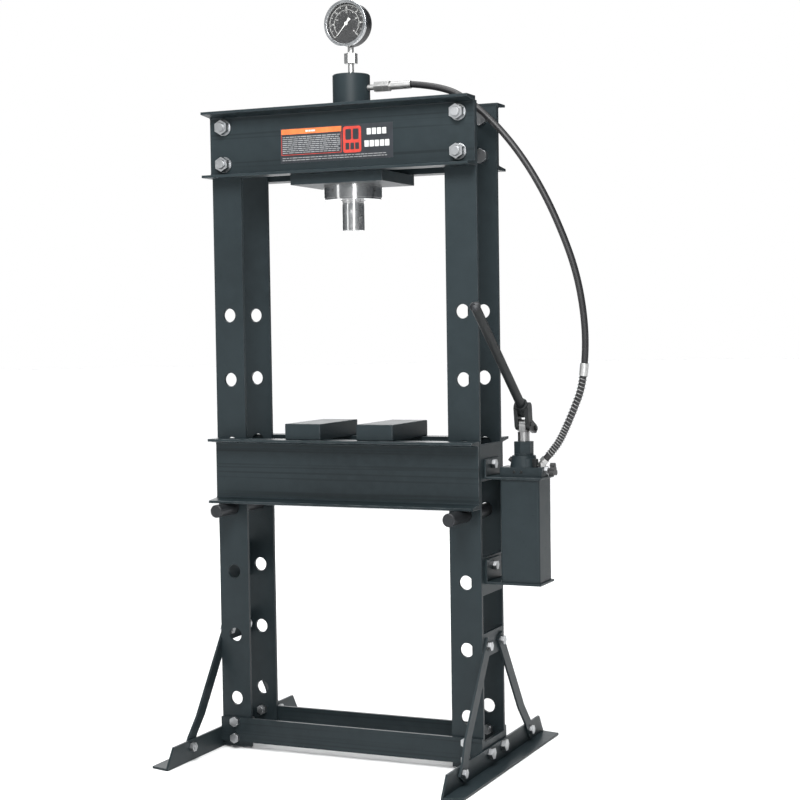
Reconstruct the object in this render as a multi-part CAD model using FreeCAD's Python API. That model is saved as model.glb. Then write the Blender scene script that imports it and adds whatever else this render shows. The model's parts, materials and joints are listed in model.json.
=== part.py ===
import FreeCAD, Part
import math
import os

# Hydraulic shop press: an H-frame of flat-bar posts and channel beams, a ram with a dial gauge above,
# a bed on two cross pins, and a hand pump with its own oil tank on the right-hand post.
# The figures below are in millimetres from the ram axis at floor level; +X is the pump side, +Y the back.

# Frame
HALF_WIDTH = 330.0
POST_WIDTH = 75.0
BAR_THICK = 8.0
HALF_GAP = 60.0
POST_FOOT = 3.0
POST_TOP = 1476.0
HOLE_RADIUS = 16.0
HOLE_PITCH = 150.0
TOP_HOLE = 1017.0
HOLE_COUNT = 7
BATTENS = {"base": (3.0, 62.0), "brace": (249.0, 303.0), "low": (388.0, 472.0), "high": (641.0, 723.0)}
BAND_THICK = 8.0

# Channel beams
BEAM_BOTTOM = 1334.0
BEAM_HEIGHT = 151.0
BEAM_FLANGE = 50.0
WEB = 7.0
FLANGE_TIP = 6.0
FLANGE_ROOT = 10.0
BEAM_BOLT_LEVELS = (1366.0, 1451.0)
WASHER_RADIUS = 18.0

# Bed, its pins and the blocks that lie on it
PIN_RADIUS = 15.0
PIN_HOLE = 3
PIN_LENGTH = 302.0
PIN_FRONTS = {"left": -148.0, "right": -164.0}
BED_HEIGHT = 149.5
BED_FLANGE = 46.0
BED_SIDE_GAP = 1.5
BLOCK_SIZE = (90.0, 200.0, 36.5)
BLOCK_OFFSET = 90.0

# Feet, rails and braces
FOOT_LEG = 47.0
FOOT_THICK = 5.0
FOOT_HALF = 318.0
FOOT_CUT = 28.0
RAIL = (15.0, 72.0)
RAIL_THICK = 8.0
RAIL_BOLT_LEVELS = (24.0, 63.0)
BRACE_WIDTH = 30.0
BRACE_THICK = 5.0
BRACE_TOP = (41.0, 274.0)
BRACE_FOOT = (213.0, 31.0)
FOOT_BOLT = (41.0, 34.0)

# Ram and cylinder
HEAD_PLATE = (229.0, 180.0, 24.0)
BARREL_RADIUS = 43.0
BORE_RADIUS = 32.0
BARREL_TOP = 1541.5
BARREL_BOTTOM = 1280.0
CAP_TOP = 1561.5
RING_RADIUS = 67.0
RING_BOTTOM = 1276.0
RAM_RADIUS = 25.5
RAM_BOTTOM = 1205.0
RAM_TOP = 1500.0
PORT_LEVEL = 1530.0

# Gauge
GAUGE_LEVEL = 1675.0
GAUGE_RADIUS = 50.0
BEZEL_RADIUS = 52.5

# Pump
PUMP_X = 408.0
TANK = (365.0, 456.0, 40.0, 418.0, 646.0)
PLUNGER_RADIUS = 13.0
LEVER_PIN_LEVEL = 766.0
FULCRUM_REACH = 32.0
FULCRUM_ANGLE = 20.0
HANDLE_ANGLE = 38.6
SOCKET_LEVEL = 797.0
SOCKET_START = -8.0
SOCKET_END = 24.0
HANDLE_END = 362.0
VALVE_LEVEL = 665.0

# Hose
HOSE_RADIUS = 7.5
HOSE_ROUTE = [
    (150.0, 1530.0), (225.0, 1521.0), (294.0, 1482.0), (359.0, 1421.0), (414.0, 1352.0), (461.5, 1274.0),
    (501.0, 1189.0), (531.5, 1106.0), (548.5, 1022.0), (554.0, 938.0), (545.0, 850.0), (527.0, 804.0),
    (506.0, 757.0), (484.0, 716.0), (459.0, 690.0),
]
COLLAR_RUN = 9
GUARD_END_GAP = 10.0

# The object is stored with the middle of its own extent, cord apart, over the origin.
X_SHIFT = -51.5

V = FreeCAD.Vector
X_AXIS = V(1, 0, 0)
Y_AXIS = V(0, 1, 0)
Z_AXIS = V(0, 0, 1)
SIDES = (-1, 1)
POST_X = HALF_WIDTH - POST_WIDTH / 2
BEAM_TOP = BEAM_BOTTOM + BEAM_HEIGHT
BAR_FACE = HALF_GAP + BAR_THICK
PIN_LEVEL = TOP_HOLE - PIN_HOLE * HOLE_PITCH - (HOLE_RADIUS - PIN_RADIUS)
BED_BOTTOM = PIN_LEVEL + PIN_RADIUS + 0.3
BED_TOP = BED_BOTTOM + BED_HEIGHT
BED_FACE = BAR_FACE + BED_SIDE_GAP


def box(x0, x1, y0, y1, z0, z1):
    return Part.makeBox(x1 - x0, y1 - y0, z1 - z0, V(x0, y0, z0))


def rod(radius, start, axis, length):
    return Part.makeCylinder(radius, length, V(*start), axis)


def tube(outer, inner, start, axis, length):
    return rod(outer, start, axis, length).cut(rod(inner, start, axis, length))


def hexagon(flats, start, axis, length):
    """Hexagonal prism along an axis, its corners lightly turned off at the far end."""
    radius = flats / math.sqrt(3)
    angles = [math.radians(a) for a in range(30, 391, 60)]
    points = [V(radius * math.cos(a), radius * math.sin(a), 0) for a in angles]
    prism = Part.Face(Part.makePolygon(points)).extrude(V(0, 0, length))
    cone = Part.makeCone(radius + length, radius - flats * 0.045, length + flats * 0.045 + 0.001)
    prism = prism.common(cone)
    prism.Placement = FreeCAD.Placement(V(*start), FreeCAD.Rotation(Z_AXIS, axis))
    return prism


def prism(points, direction):
    wire = Part.makePolygon([V(*p) for p in points] + [V(*points[0])])
    return Part.Face(wire).extrude(direction)


def mirrored(shape, normal):
    return shape.mirror(V(0, 0, 0), normal)


def fuse(shapes):
    result = shapes[0]
    for shape in shapes[1:]:
        result = result.fuse(shape)
    return result.removeSplitter()


def group(shapes):
    return Part.makeCompound(shapes)


def save(name, shape):
    shape.translate(V(X_SHIFT, 0, 0))
    shape.exportStep("parts/" + name + ".step")


def channel(half_length, face, height, flange, bottom):
    """Front channel: web flat against a post face, tapered flanges pointing to the front."""
    web_front = -face - WEB
    tip = -face - flange
    top = bottom + height
    points = [
        (-face, bottom), (tip, bottom), (tip, bottom + FLANGE_TIP), (web_front - 4, bottom + FLANGE_ROOT),
        (web_front - 1, bottom + FLANGE_ROOT + 1), (web_front, bottom + FLANGE_ROOT + 3.5),
        (web_front, top - FLANGE_ROOT - 3.5), (web_front - 1, top - FLANGE_ROOT - 1),
        (web_front - 4, top - FLANGE_ROOT), (tip, top - FLANGE_TIP), (tip, top), (-face, top),
    ]
    return prism([(-half_length, y, z) for y, z in points], V(2 * half_length, 0, 0))


def post_bar(side):
    """Front bar of one post, with its row of pin holes and its bolt holes."""
    x0, x1 = sorted((side * HALF_WIDTH, side * (HALF_WIDTH - POST_WIDTH)))
    bar = box(x0, x1, -BAR_FACE, -HALF_GAP, POST_FOOT, POST_TOP)
    holes = [(HOLE_RADIUS, TOP_HOLE - i * HOLE_PITCH) for i in range(HOLE_COUNT)]
    holes += [(10.5, z) for z in BEAM_BOLT_LEVELS]
    holes += [(7.5, z) for z in RAIL_BOLT_LEVELS]
    for radius, z in holes:
        bar = bar.cut(rod(radius, (side * POST_X, -BAR_FACE - 1, z), Y_AXIS, BAR_THICK + 2))
    return bar


def battens(side):
    """Outer plates that tie the front and back bars of one post together."""
    x0, x1 = sorted((side * HALF_WIDTH, side * (HALF_WIDTH - BAND_THICK)))
    plates = {key: box(x0, x1, -HALF_GAP, HALF_GAP, z0, z1) for key, (z0, z1) in BATTENS.items()}
    holes = [("base", y, FOOT_BOLT[1], 8.5) for y in (-FOOT_BOLT[0], FOOT_BOLT[0])]
    holes += [("brace", y, BRACE_TOP[1], 6.5) for y in (-BRACE_TOP[0], BRACE_TOP[0])]
    holes += [("low", 0.0, 450.0, 6.5), ("high", 0.0, 677.0, 6.5)]
    for key, y, z, radius in holes:
        plates[key] = plates[key].cut(rod(radius, (x0 - 1, y, z), X_AXIS, BAND_THICK + 2))
    return group(list(plates.values()))


def top_beam():
    beam = channel(HALF_WIDTH, BAR_FACE, BEAM_HEIGHT, BEAM_FLANGE, BEAM_BOTTOM)
    for side in SIDES:
        for z in BEAM_BOLT_LEVELS:
            beam = beam.cut(rod(10.5, (side * POST_X, -BAR_FACE - WEB - 1, z), Y_AXIS, WEB + 2))
    return beam


def beam_fastenings():
    """Bolts with heads inside the posts, washers and nuts on the beam webs."""
    bolts, washers, nuts = [], [], []
    web_face = BAR_FACE + WEB
    for side in SIDES:
        for z in BEAM_BOLT_LEVELS:
            x = side * POST_X
            head = hexagon(30.0, (x, -HALF_GAP, z), Y_AXIS, 13.0)
            shank = rod(10.0, (x, -web_face - 25, z), Y_AXIS, web_face + 25 - HALF_GAP)
            bolts.append(fuse([head, shank]))
            washers.append(tube(WASHER_RADIUS, 10.5, (x, -web_face - 3, z), Y_AXIS, 3.0))
            nut = hexagon(30.0, (x, -web_face - 3, z), V(0, -1, 0), 16.0)
            nuts.append(nut.cut(rod(10.3, (x, -web_face - 20, z), Y_AXIS, 20.0)))
    for shapes in (bolts, washers, nuts):
        shapes += [mirrored(s, Y_AXIS) for s in shapes]
    return group(bolts), group(washers), group(nuts)


def rail():
    bar = box(-HALF_WIDTH, HALF_WIDTH, -BAR_FACE - RAIL_THICK, -BAR_FACE, *RAIL)
    for side in SIDES:
        for z in RAIL_BOLT_LEVELS:
            bar = bar.cut(rod(7.5, (side * POST_X, -BAR_FACE - RAIL_THICK - 1, z), Y_AXIS, RAIL_THICK + 2))
    return bar


def rail_fastenings():
    bolts, nuts = [], []
    face = BAR_FACE + RAIL_THICK
    for side in SIDES:
        for z in RAIL_BOLT_LEVELS:
            x = side * POST_X
            head = hexagon(21.0, (x, -face, z), V(0, -1, 0), 9.0)
            shank = rod(7.0, (x, -face, z), Y_AXIS, face - HALF_GAP + 15)
            bolts.append(fuse([head, shank]))
            nut = hexagon(21.0, (x, -HALF_GAP, z), Y_AXIS, 11.0)
            nuts.append(nut.cut(rod(7.3, (x, -HALF_GAP - 1, z), Y_AXIS, 14.0)))
    for shapes in (bolts, nuts):
        shapes += [mirrored(s, Y_AXIS) for s in shapes]
    return bolts, nuts


def foot():
    """Right foot: an angle with its upright leg against the post and its ends cut back."""
    x0 = HALF_WIDTH
    upright = box(x0, x0 + FOOT_THICK, -FOOT_HALF, FOOT_HALF, 0, FOOT_LEG)
    flat = box(x0, x0 + FOOT_LEG, -FOOT_HALF, FOOT_HALF, 0, FOOT_THICK)
    angle = fuse([upright, flat])
    for end in SIDES:
        top_cut = prism(
            [(x0 - 1, end * FOOT_HALF, FOOT_THICK), (x0 - 1, end * (FOOT_HALF - FOOT_CUT), FOOT_LEG + 0.01),
             (x0 - 1, end * (FOOT_HALF + 1), FOOT_LEG + 0.01), (x0 - 1, end * (FOOT_HALF + 1), FOOT_THICK)],
            V(FOOT_LEG + 2, 0, 0),
        )
        side_cut = prism(
            [(x0 + FOOT_THICK, end * FOOT_HALF, -1), (x0 + FOOT_LEG + 1, end * (FOOT_HALF - 11), -1),
             (x0 + FOOT_LEG + 1, end * (FOOT_HALF + 1), -1), (x0 + FOOT_THICK, end * (FOOT_HALF + 1), -1)],
            V(0, 0, FOOT_THICK + 2),
        )
        angle = angle.cut(top_cut).cut(side_cut)
        for (y, z), radius in ((FOOT_BOLT, 8.5), (BRACE_FOOT, 6.5)):
            angle = angle.cut(rod(radius, (x0 - 1, end * y, z), X_AXIS, FOOT_THICK + 2))
    return angle


def brace():
    """Right back brace: a flat bar from the post down to the end of the foot, with a joggle near the foot."""
    (y0, z0), (y1, z1) = BRACE_TOP, BRACE_FOOT
    length = math.hypot(y1 - y0, z1 - z0)
    uy, uz = (y1 - y0) / length, (z1 - z0) / length
    half = BRACE_WIDTH / 2
    corners = []
    for along, across in ((-14, -half), (-14, half), (length + 14, half), (length + 14, -half)):
        corners.append((y0 + uy * along - uz * across, z0 + uz * along + uy * across))
    bend = 40.0
    sheets = []
    outline = prism([(HALF_WIDTH - 1, y, z) for y, z in corners], V(30, 0, 0))
    x0, x1 = HALF_WIDTH, HALF_WIDTH + FOOT_THICK
    low, high = z1 + FOOT_LEG / 2, z1 + FOOT_LEG / 2 + bend
    profile = [
        (x0, 400.0), (x0 + BRACE_THICK, 400.0), (x0 + BRACE_THICK, high), (x1 + BRACE_THICK, low),
        (x1 + BRACE_THICK, 0.0), (x1, 0.0), (x1, low), (x0, high),
    ]
    sheets.append(prism([(x, 0.0, z) for x, z in profile], V(0, 300, 0)))
    bar = sheets[0].common(outline)
    bar = bar.cut(rod(6.5, (x0 - 1, y0, z0), X_AXIS, 12)).cut(rod(6.5, (x1 - 1, y1, z1), X_AXIS, 12))
    return bar


def side_bolt(y, z, face, inner, flats, radius):
    """Bolt along X with its head outside the right-hand face, and the nut on the inner face."""
    head = hexagon(flats, (face, y, z), X_AXIS, flats * 0.42)
    shank = rod(radius, (inner - flats * 0.62, y, z), X_AXIS, face - inner + flats * 0.62)
    nut = hexagon(flats, (inner, y, z), V(-1, 0, 0), flats * 0.5)
    nut = nut.cut(rod(radius + 0.3, (inner - flats, y, z), X_AXIS, flats + 2))
    return fuse([head, shank]), nut


def side_fastenings(points, face, inner, flats, radius):
    bolts, nuts = [], []
    for y, z in points:
        for end in SIDES:
            bolt, nut = side_bolt(end * y, z, face, inner, flats, radius)
            bolts += [bolt, mirrored(bolt, X_AXIS)]
            nuts += [nut, mirrored(nut, X_AXIS)]
    return bolts, nuts


os.makedirs("parts", exist_ok=True)

# Posts
right_bar = post_bar(1)
left_bar = post_bar(-1)
save("right_back_bar", mirrored(right_bar, Y_AXIS))
save("left_back_bar", mirrored(left_bar, Y_AXIS))
save("right_front_bar", right_bar)
save("left_front_bar", left_bar)
save("right_battens", battens(1))
save("left_battens", battens(-1))

# Top beams
beam = top_beam()
save("top_beam_back", mirrored(beam, Y_AXIS))
save("top_beam_front", beam)
beam_bolts, beam_washers, beam_nuts = beam_fastenings()
save("beam_bolts", beam_bolts)
save("beam_washers", beam_washers)
save("beam_nuts", beam_nuts)

# Label panels on the front web
label_y = -BAR_FACE - WEB
label_areas = [(-143, 9, 1426, 1438), (-143, 9, 1379, 1425), (13, 58, 1377, 1436)]
save("label_panels", group([box(x0, x1, label_y - 0.6, label_y, z0, z1) for x0, x1, z0, z1 in label_areas]))

# Base
base_rail = rail()
save("rail_back", mirrored(base_rail, Y_AXIS))
save("rail_front", base_rail)
rail_bolts, rail_nuts = rail_fastenings()
save("rail_bolts", group(rail_bolts))
right_foot = foot()
save("foot_left", mirrored(right_foot, X_AXIS))
save("foot_right", right_foot)
inner_face = HALF_WIDTH - BAND_THICK
foot_bolts, foot_nuts = side_fastenings([FOOT_BOLT], HALF_WIDTH + FOOT_THICK, inner_face, 24.0, 8.0)
save("foot_bolts", group(foot_bolts))
right_back_brace = brace()
right_front_brace = mirrored(right_back_brace, Y_AXIS)
save("braces_left", group([mirrored(b, X_AXIS) for b in (right_back_brace, right_front_brace)]))
save("braces_right", group([right_back_brace, right_front_brace]))
top_set = side_fastenings([BRACE_TOP], HALF_WIDTH + BRACE_THICK, inner_face, 19.0, 6.0)
low_set = side_fastenings([BRACE_FOOT], HALF_WIDTH + FOOT_THICK + BRACE_THICK, HALF_WIDTH, 19.0, 6.0)

# Head plate, cylinder and ram
plate_x, plate_y, plate_z = HEAD_PLATE
head_plate = box(-plate_x / 2, plate_x / 2, -plate_y / 2, plate_y / 2, BEAM_BOTTOM - plate_z, BEAM_BOTTOM)
save("head_plate", head_plate.cut(rod(BARREL_RADIUS + 0.5, (0, 0, 1300), Z_AXIS, 40)))
barrel = tube(BARREL_RADIUS, BORE_RADIUS, (0, 0, BARREL_BOTTOM), Z_AXIS, BARREL_TOP - BARREL_BOTTOM)
port = rod(3.0, (BORE_RADIUS - 3, 0, PORT_LEVEL), X_AXIS, 20)
port = port.fuse(rod(6.7, (BARREL_RADIUS - 9.2, 0, PORT_LEVEL), X_AXIS, 14))
cap = rod(BARREL_RADIUS, (0, 0, BARREL_TOP), Z_AXIS, CAP_TOP - BARREL_TOP)
cap = cap.makeChamfer(2.0, [e for e in cap.Edges if e.BoundBox.ZMin > CAP_TOP - 0.1])
cap = cap.cut(rod(7.0, (0, 0, BARREL_TOP - 1), Z_AXIS, 30))
save("cylinder_barrel", fuse([barrel.cut(port), cap]))
save("cylinder_gland", tube(BORE_RADIUS - 0.1, RAM_RADIUS + 0.1, (0, 0, BARREL_BOTTOM + 2), Z_AXIS, 40.0))
ring_height = BEAM_BOTTOM - plate_z - RING_BOTTOM - 4
ring = tube(RING_RADIUS, BARREL_RADIUS + 0.3, (0, 0, RING_BOTTOM + 4), Z_AXIS, ring_height)
lip = tube(RING_RADIUS - 2, RAM_RADIUS + 4, (0, 0, RING_BOTTOM), Z_AXIS, 4.0)
ring = ring.fuse(lip).removeSplitter()
for quarter in range(4):
    angle = math.radians(72 + 90 * quarter)
    outward = V(math.cos(angle), math.sin(angle), 0)
    start = (outward.x * (RING_RADIUS - 9), outward.y * (RING_RADIUS - 9), 1296.0)
    ring = ring.cut(rod(3.5, start, outward, 12))
save("lock_ring", ring)
ram = rod(RAM_RADIUS, (0, 0, RAM_BOTTOM), Z_AXIS, RAM_TOP - RAM_BOTTOM)
ram = ram.makeChamfer(1.5, [e for e in ram.Edges if e.BoundBox.ZMax < RAM_BOTTOM + 0.1])
ram = ram.cut(tube(RAM_RADIUS + 1, RAM_RADIUS - 1, (0, 0, RAM_BOTTOM + 62), Z_AXIS, 3.0))
save("ram", fuse([ram, rod(BORE_RADIUS - 0.3, (0, 0, RAM_TOP), Z_AXIS, 18.0)]))

# Gauge
adapter = rod(6.7, (0, 0, BARREL_TOP + 4), Z_AXIS, 1587 - BARREL_TOP - 4)
collar = rod(9.0, (0, 0, CAP_TOP), Z_AXIS, 3.0)
case_back, case_front = 12.0, -20.0
case_bottom = GAUGE_LEVEL - GAUGE_RADIUS
stem = rod(7.0, (0, 0, 1605), Z_AXIS, case_bottom - 1605 - 0.6)
save("gauge_stem", fuse([adapter, collar, hexagon(27.0, (0, 0, 1587), Z_AXIS, 23.0), stem]))
case = rod(GAUGE_RADIUS, (0, case_front, GAUGE_LEVEL), Y_AXIS, case_back - case_front)
case = case.makeFillet(4.0, [e for e in case.Edges if e.BoundBox.YMin > case_back - 0.1])
case = case.cut(rod(GAUGE_RADIUS - 3, (0, case_front - 1, GAUGE_LEVEL), Y_AXIS, 26.0))
save("gauge_case", case)
save("gauge_dial", rod(GAUGE_RADIUS - 3.2, (0, case_front, GAUGE_LEVEL), Y_AXIS, 2.0))
save("gauge_glass", rod(GAUGE_RADIUS - 4.5, (0, case_front - 9.0, GAUGE_LEVEL), Y_AXIS, 2.0))
bezel = tube(BEZEL_RADIUS, GAUGE_RADIUS - 4.2, (0, case_front - 10, GAUGE_LEVEL), Y_AXIS, 10.0)
save("gauge_bezel", bezel)
needle_y = case_front - 4.0
needle_angle = math.radians(230)
nx, nz = math.cos(needle_angle), math.sin(needle_angle)
needle = prism(
    [(nx * 34, needle_y, GAUGE_LEVEL + nz * 34), (-nz * 3, needle_y, GAUGE_LEVEL + nx * 3),
     (-nx * 14 - nz * 2, needle_y, GAUGE_LEVEL - nz * 14 + nx * 2),
     (-nx * 14 + nz * 2, needle_y, GAUGE_LEVEL - nz * 14 - nx * 2), (nz * 3, needle_y, GAUGE_LEVEL - nx * 3)],
    V(0, 1.0, 0),
)
hub = rod(4.5, (0, needle_y - 1.0, GAUGE_LEVEL), Y_AXIS, 3.0)
save("gauge_pointer", fuse([needle, hub]))

# Bed
bed_beam = channel(HALF_WIDTH, BED_FACE, BED_HEIGHT, BED_FLANGE, BED_BOTTOM)
save("bed_back", mirrored(bed_beam, Y_AXIS))
save("bed_front", bed_beam)
spacers = []
for side in SIDES:
    x0, x1 = sorted((side * 238.0, side * 248.0))
    spacers.append(box(x0, x1, -BED_FACE, BED_FACE, BED_BOTTOM + 14, BED_TOP - 14))
save("bed_spacers", group(spacers))
for side, name in ((-1, "left"), (1, "right")):
    pin = rod(PIN_RADIUS, (side * POST_X, PIN_FRONTS[name], PIN_LEVEL), Y_AXIS, PIN_LENGTH)
    pin = pin.makeChamfer(2.0, [e for e in pin.Edges if e.Length < 100 and e.BoundBox.YLength < 0.1])
    save("bed_pin_" + name, pin)
    length_x, length_y, height = BLOCK_SIZE
    x = side * BLOCK_OFFSET
    block = box(x - length_x / 2, x + length_x / 2, -length_y / 2, length_y / 2, BED_TOP, BED_TOP + height)
    block = block.makeChamfer(1.5, block.Edges)
    save("press_block_" + name, block)

# Pump brackets and tank
tab_face = HALF_WIDTH + 5
low_bracket = fuse([box(HALF_WIDTH, tab_face, -46, 46, 413, 467), box(HALF_WIDTH, 460, -46, 46, 413, 418)])
high_bracket = fuse([box(HALF_WIDTH, tab_face, -46, 46, 646, 690), box(HALF_WIDTH, 462, -46, 46, 646, 651)])
bracket_hole = rod(6.5, (HALF_WIDTH - 1, 0, 450), X_AXIS, 8)
save("pump_bracket_low", low_bracket.cut(bracket_hole))
save("pump_bracket_high", high_bracket.cut(bracket_hole.translated(V(0, 0, 227))))
bolt_pairs = [side_bolt(0, z, tab_face, inner_face, 19.0, 6.0) for z in (450, 677)]
save("side_bolts", group(top_set[0] + low_set[0] + [p[0] for p in bolt_pairs]))
save("inner_nuts", group(rail_nuts + foot_nuts + top_set[1] + low_set[1] + [p[1] for p in bolt_pairs]))
tx0, tx1, ty, tz0, tz1 = TANK
tank = box(tx0, tx1, -ty, ty, tz0, tz1)
tank = tank.makeFillet(5.0, [e for e in tank.Edges if e.BoundBox.ZLength > 100])
save("oil_tank", tank.cut(box(tx0 + 3, tx1 - 3, -ty + 3, ty - 3, tz0 + 3, tz1)))

# Pump head
head_z = 651.0
block = box(361, 458, -30, 20, head_z, 672)
block = block.makeChamfer(2.0, [e for e in block.Edges if e.BoundBox.ZLength > 5])
dome = Part.makeCone(31.0, 26.0, 25.0, V(PUMP_X, 0, 672), Z_AXIS).common(box(350, 458, -30, 20, 660, 700))
boss = Part.makeCone(18.0, 15.0, 19.0, V(PUMP_X + 12, -10, 672), Z_AXIS)
pump_head = fuse([block, dome, boss])
plunger_bore = rod(PLUNGER_RADIUS + 0.1, (PUMP_X, 0, head_z), Z_AXIS, 80)
filler_axis = V(-0.77, -0.2, 0.6)
filler_start = (PUMP_X - 18.0, -3.0, 680.0)
filler = rod(5.5, filler_start, filler_axis, 18.0)
relief = rod(6.0, (441.0, -19.0, 668.0), Z_AXIS, 23.0)
valve_bore = rod(4.1, (438, -4, VALVE_LEVEL), X_AXIS, 30)
for tool in (plunger_bore, filler, relief, valve_bore):
    pump_head = pump_head.cut(tool)
screws = [rod(3.0, (x, -31.5, 662), Y_AXIS, 9.5) for x in (395.0, 412.0)]
for screw in screws:
    pump_head = pump_head.cut(screw)
save("pump_head", pump_head)
save("filler_plug", filler)
save("head_plugs", group([relief] + screws))
collar = hexagon(38.0, (PUMP_X, 0, 702), Z_AXIS, 26.0)
collar = fuse([rod(21.5, (PUMP_X, 0, 697), Z_AXIS, 5.0), collar])
save("pump_collar", collar.cut(plunger_bore))

# Plunger and lever
ear = math.radians(FULCRUM_ANGLE)
fulcrum_y = FULCRUM_REACH * math.cos(ear)
fulcrum_z = LEVER_PIN_LEVEL - FULCRUM_REACH * math.sin(ear)
plunger = rod(PLUNGER_RADIUS, (PUMP_X, 0, 677), Z_AXIS, 72.0)
neck = box(PUMP_X - 7.4, PUMP_X + 7.4, -10.4, 10.4, 745, LEVER_PIN_LEVEL)
eye = rod(11.0, (PUMP_X - 7.4, 0, LEVER_PIN_LEVEL), X_AXIS, 14.8)
plunger = fuse([plunger, neck, eye]).cut(rod(5.1, (PUMP_X - 20, 0, LEVER_PIN_LEVEL), X_AXIS, 40))
save("pump_plunger", plunger)
fulcrum = box(401, 407, 23.5, 37.5, 651, fulcrum_z)
fulcrum = fuse([fulcrum, rod(7.0, (401, fulcrum_y, fulcrum_z), X_AXIS, 6)])
save("fulcrum", fuse([fulcrum, rod(5.0, (PUMP_X - 21, fulcrum_y, fulcrum_z), X_AXIS, 42)]))

slope = math.radians(HANDLE_ANGLE)
along = V(0, -math.cos(slope), math.sin(slope))


def on_handle(s):
    return (PUMP_X, along.y * s, SOCKET_LEVEL + along.z * s)


def cheek(x):
    """One side plate of the lever: round at the plunger pin, slotted at the fulcrum, rising to the socket."""
    thick = 8.6
    pin = (0.0, LEVER_PIN_LEVEL)
    tail_y, tail_z = fulcrum_y + 3.0, fulcrum_z - 1.1
    seat_y, seat_z = on_handle(6.0)[1:]
    parts = [rod(13.0, (x, pin[0], pin[1]), X_AXIS, thick), rod(10.0, (x, tail_y, tail_z), X_AXIS, thick),
             rod(14.0, (x, seat_y, seat_z), X_AXIS, thick)]
    for (a_y, a_z, a_r), (b_y, b_z, b_r) in (
        ((0.0, LEVER_PIN_LEVEL, 13.0), (tail_y, tail_z, 10.0)),
        ((0.0, LEVER_PIN_LEVEL, 13.0), (seat_y, seat_z, 14.0)),
    ):
        span = math.hypot(b_y - a_y, b_z - a_z)
        ny, nz_ = -(b_z - a_z) / span, (b_y - a_y) / span
        parts.append(prism(
            [(x, a_y + ny * a_r, a_z + nz_ * a_r), (x, b_y + ny * b_r, b_z + nz_ * b_r),
             (x, b_y - ny * b_r, b_z - nz_ * b_r), (x, a_y - ny * a_r, a_z - nz_ * a_r)], V(thick, 0, 0)))
    plate = fuse(parts)
    uy, uz = math.cos(ear), -math.sin(ear)
    slot = []
    for s in (FULCRUM_REACH - 3.5, FULCRUM_REACH + 1.5):
        slot.append(rod(5.6, (x - 1, uy * s, LEVER_PIN_LEVEL + uz * s), X_AXIS, thick + 2))
    s0, s1 = FULCRUM_REACH - 3.5, FULCRUM_REACH + 1.5
    slot.append(prism(
        [(x - 1, uy * s0 - uz * 5.6, LEVER_PIN_LEVEL + uz * s0 + uy * 5.6),
         (x - 1, uy * s1 - uz * 5.6, LEVER_PIN_LEVEL + uz * s1 + uy * 5.6),
         (x - 1, uy * s1 + uz * 5.6, LEVER_PIN_LEVEL + uz * s1 - uy * 5.6),
         (x - 1, uy * s0 + uz * 5.6, LEVER_PIN_LEVEL + uz * s0 - uy * 5.6)], V(thick + 2, 0, 0)))
    for tool in slot:
        plate = plate.cut(tool)
    return plate


socket = rod(15.0, on_handle(SOCKET_START), along, SOCKET_END - SOCKET_START)
lever = fuse([cheek(PUMP_X - 17), cheek(PUMP_X + 8.4), socket])
lever = lever.cut(rod(10.3, on_handle(SOCKET_START - 5), along, 60))
save("pump_lever", fuse([lever, rod(5.0, (PUMP_X - 19, 0, LEVER_PIN_LEVEL), X_AXIS, 38)]))
save("handle_tube", tube(10.0, 8.0, on_handle(SOCKET_START + 1), along, HANDLE_END - SOCKET_START - 1))
plug = fuse([rod(11.5, on_handle(HANDLE_END), along, 5.0), rod(7.9, on_handle(HANDLE_END - 15), along, 16.0)])
dome = Part.makeSphere(16.0, V(*on_handle(HANDLE_END + 5 - 11.12)))
dome = dome.common(rod(11.5, on_handle(HANDLE_END + 5), along, 8))
plug = fuse([plug, dome]).cut(rod(1.6, on_handle(HANDLE_END + 4), along, 10))
save("handle_plug", plug)

# Release valve on the right-hand side of the pump head
valve_y, valve_z = -4.0, VALVE_LEVEL
gland = hexagon(15.0, (458, valve_y, valve_z), X_AXIS, 8.0).cut(rod(4.2, (457, valve_y, valve_z), X_AXIS, 12))
save("valve_gland", gland)
knob = fuse([rod(10.0, (471, valve_y, valve_z), X_AXIS, 11), rod(4.0, (440, valve_y, valve_z), X_AXIS, 32)])
for turn in range(3):
    angle = math.radians(90 + 120 * turn)
    centre = (471, valve_y + 10.5 * math.cos(angle), valve_z + 10.5 * math.sin(angle))
    knob = knob.fuse(rod(6.2, centre, X_AXIS, 11))
save("valve_knob", knob.removeSplitter())

# Hose and its fittings
nipple = rod(6.5, (BARREL_RADIUS - 9, 0, PORT_LEVEL), X_AXIS, 27)
adapter = fuse([nipple, hexagon(22.0, (60, 0, PORT_LEVEL), X_AXIS, 22.0)])
save("port_adapter", adapter.cut(rod(3.0, (BARREL_RADIUS - 10, 0, PORT_LEVEL), X_AXIS, 50)))
hose_x, hose_z = HOSE_ROUTE[0]
swivel = hexagon(22.0, (82, 0, hose_z), X_AXIS, 15.0)
ferrule = rod(9.0, (100, 0, hose_z), X_AXIS, hose_x - 101)
save("hose_fitting_top", fuse([swivel, rod(6.5, (95, 0, hose_z), X_AXIS, 6.0), ferrule]))


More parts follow.
